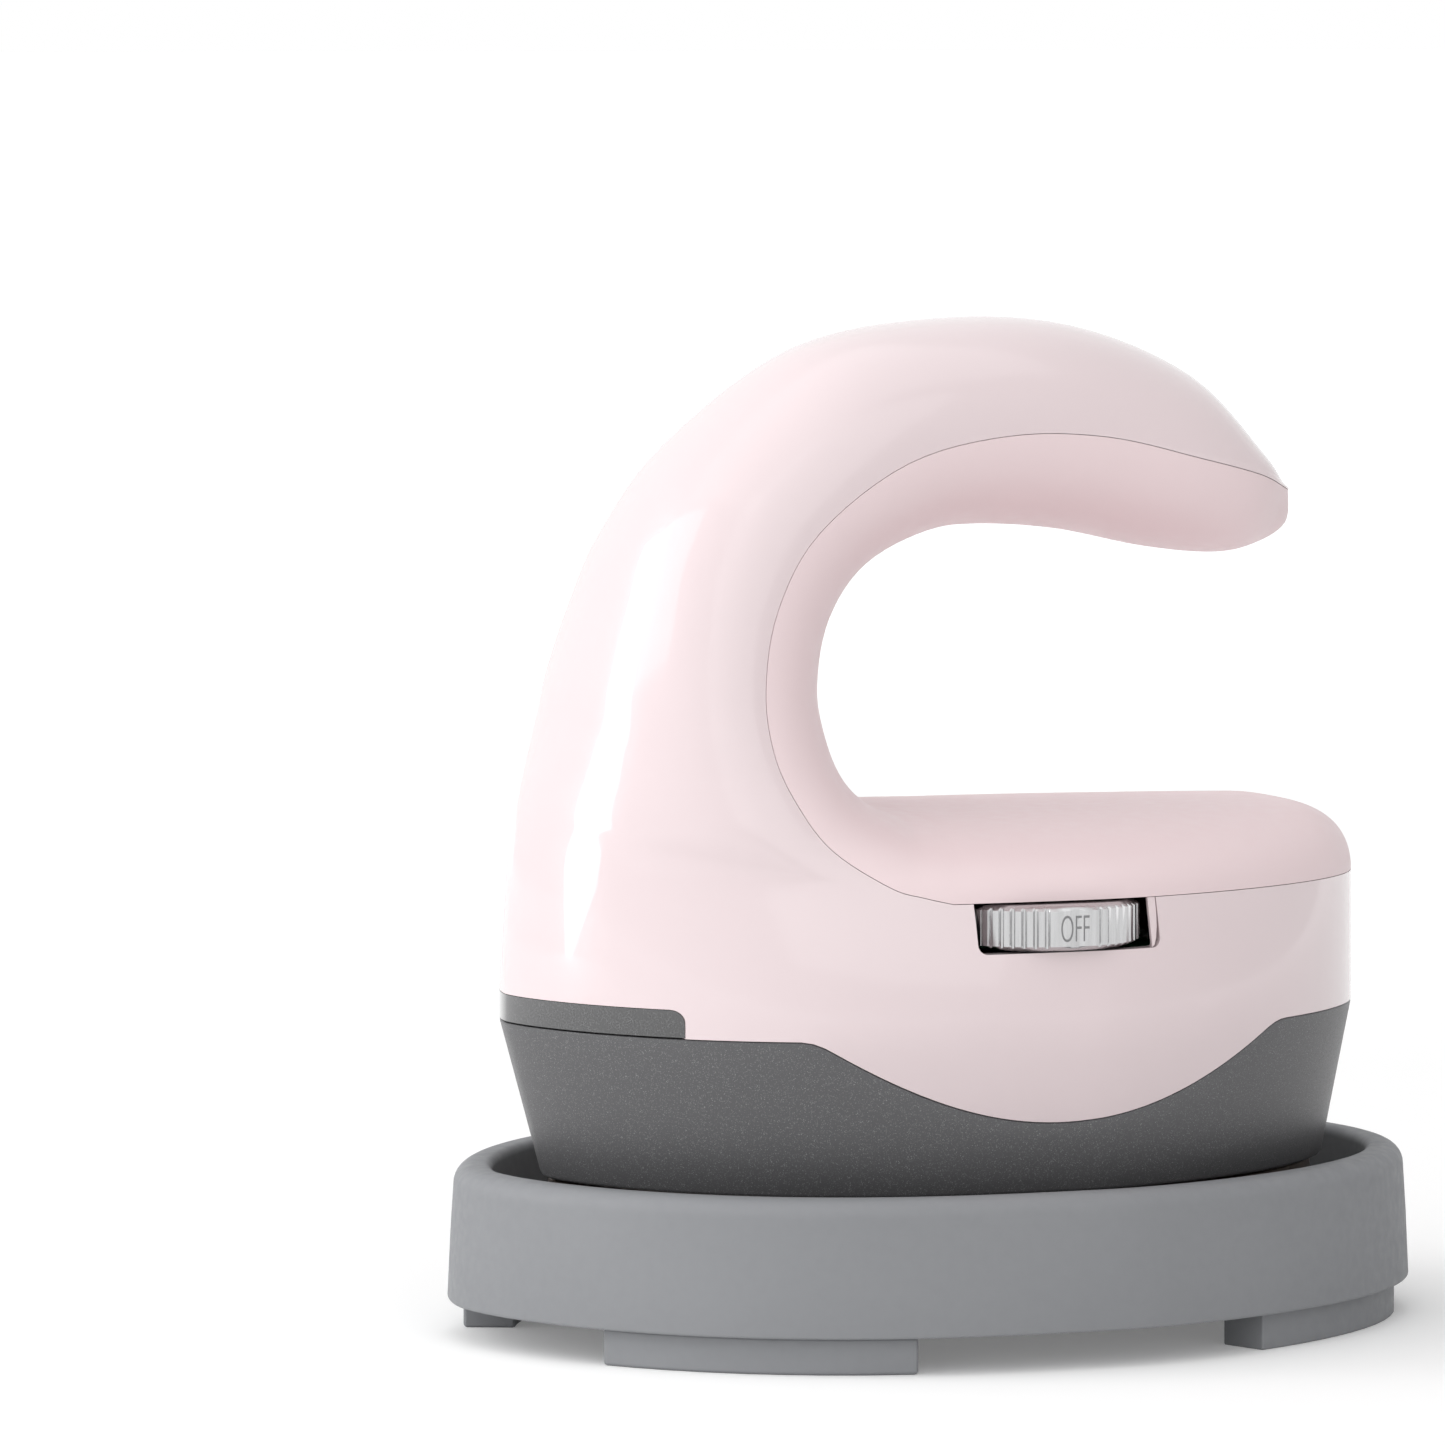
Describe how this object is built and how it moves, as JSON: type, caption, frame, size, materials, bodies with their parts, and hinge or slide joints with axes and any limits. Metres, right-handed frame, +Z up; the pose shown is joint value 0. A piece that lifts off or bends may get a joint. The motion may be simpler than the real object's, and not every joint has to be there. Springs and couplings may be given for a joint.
{
  "type": "mini heat press with rest stand",
  "caption": "Hand held mini heat press with a C shaped handle, pointed hot plate, thumb wheel heat dial and an insulated grey stand that it lifts out of.",
  "frame": {"origin": "centre of the whole object's box, at the feet's underside", "axes": "+Z up, +X from the plate's pointed nose to the heel, the thumb wheel on the -Y side"},
  "size_m": [0.1324, 0.0994, 0.133],
  "materials": {
    "pink_gloss": "high gloss",
    "pink_satin": "satin",
    "graphite": "satin with fine metallic flecks",
    "stand_grey": "soft matte",
    "pad_grey": "matte",
    "ceramic": "speckled ceramic coating on the face, bare edge",
    "silver": "satin",
    "smoked": "polished",
    "steel": "bright zinc",
    "frame_white": "moulded",
    "board_green": "solder mask",
    "black": "moulded",
    "mica": "dull",
    "clear": "clear",
    "lead_white": "woven glass sleeve"
  },
  "bodies": {
    "stand": {"stand_tray": "stand_grey", "stand_foot_nose_left": "stand_grey", "stand_foot_nose_right": "stand_grey", "stand_foot_heel_left": "stand_grey", "stand_foot_heel_right": "stand_grey", "rest_pad": "pad_grey"},
    "press": {"hot_plate": "ceramic", "heating_element": "steel", "heater_terminal_1": "mica", "heater_terminal_2": "mica", "temperature_sensor": "steel", "sensor_clip": "steel", "thermal_fuse": "mica", "fuse_saddle": "steel", "heat_shield": "steel", "insulation_sheet": "mica", "lower_housing": "graphite", "plate_screw_1": "steel", "plate_screw_2": "steel", "plate_screw_3": "steel", "plate_screw_4": "steel", "chassis": "frame_white", "control_board": "board_green", "board_screw_1": "steel", "board_screw_2": "steel", "board_screw_3": "steel", "board_screw_4": "steel", "relay": "black", "transformer": "mica", "chip": "black", "capacitor": "black", "terminal_block": "board_green", "rotary_switch": "black", "lamp_bracket": "frame_white", "lamp_board": "board_green", "indicator_lamp": "clear", "light_guide": "clear", "indicator_window": "smoked", "outer_shell": "pink_gloss", "handle_cover": "pink_satin", "cord_gland": "black", "heater_lead_1": "lead_white", "heater_lead_2": "lead_white"},
    "dial": {"dial": "silver", "dial_shaft": "steel"}
  },
  "joints": [
    {"name": "lift_off", "type": "slide", "parent": "stand", "child": "press", "axis": [0, 0, 1], "range_m": [0, 0.06]},
    {"name": "heat_dial", "type": "hinge", "parent": "press", "child": "dial", "pos_m": [0.0026, -0.02935, 0.056], "axis": [0, 0, 1], "range_deg": [0, 120]}
  ]
}
